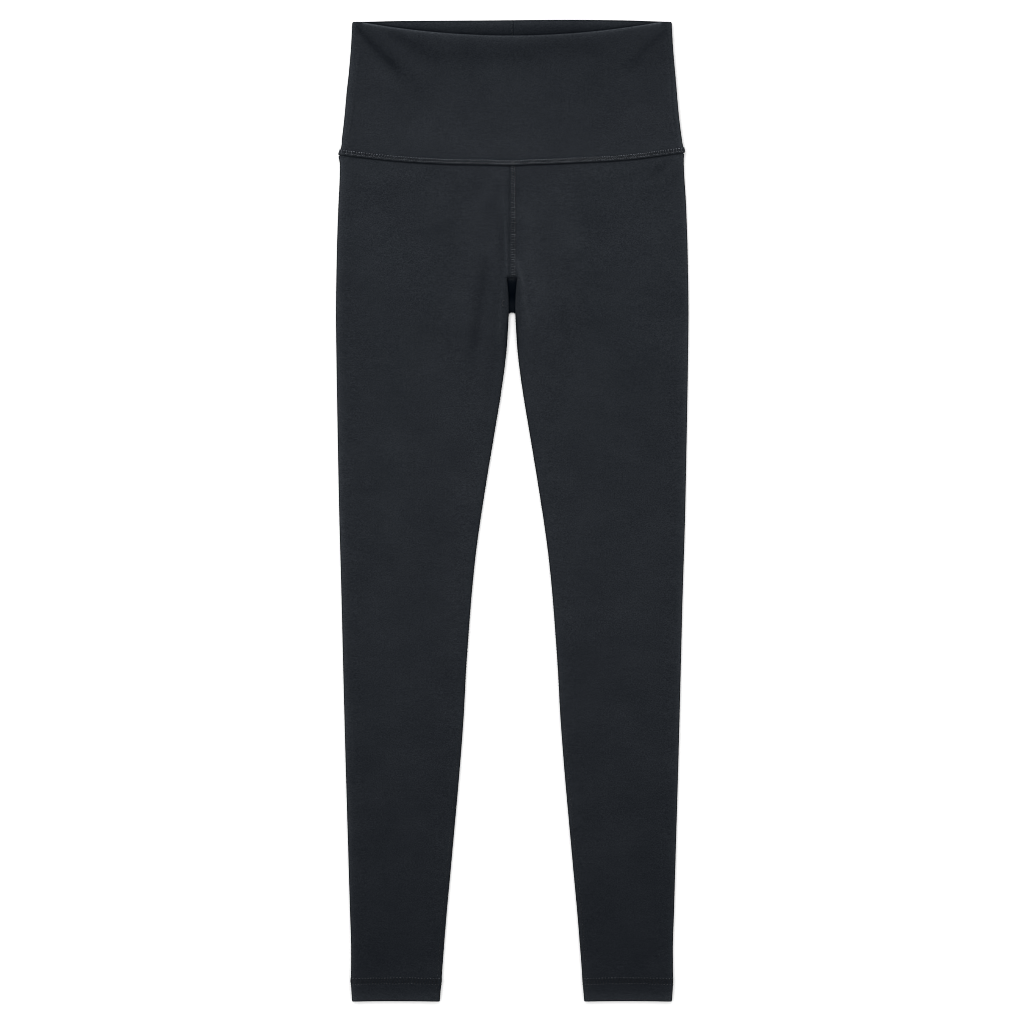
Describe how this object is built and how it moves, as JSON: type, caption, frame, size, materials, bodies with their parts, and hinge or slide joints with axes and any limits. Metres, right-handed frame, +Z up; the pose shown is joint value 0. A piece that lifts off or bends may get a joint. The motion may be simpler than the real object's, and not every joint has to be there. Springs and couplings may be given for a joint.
{
  "type": "leggings",
  "caption": "High-rise full-length leggings laid flat, face up, with a wide double waistband, a crotch gusset and turned-up hems.",
  "frame": {"origin": "centre of the garment's outline on the surface it lies on, at the bottom of its bounding box", "axes": "+Z up from the surface, toward the front of the garment, which lies face up; +Y toward the waist; +X toward the wearer's left leg"},
  "size_m": [0.3628, 1.0096, 0.0066],
  "materials": {
    "knit": "matt charcoal jersey with a brushed face"
  },
  "bodies": {
    "root": {"waistband_front": "knit", "waistband_back_left": "knit", "waistband_back_right": "knit", "leg_left": "knit", "leg_right": "knit", "gusset": "knit"}
  },
  "joints": []
}
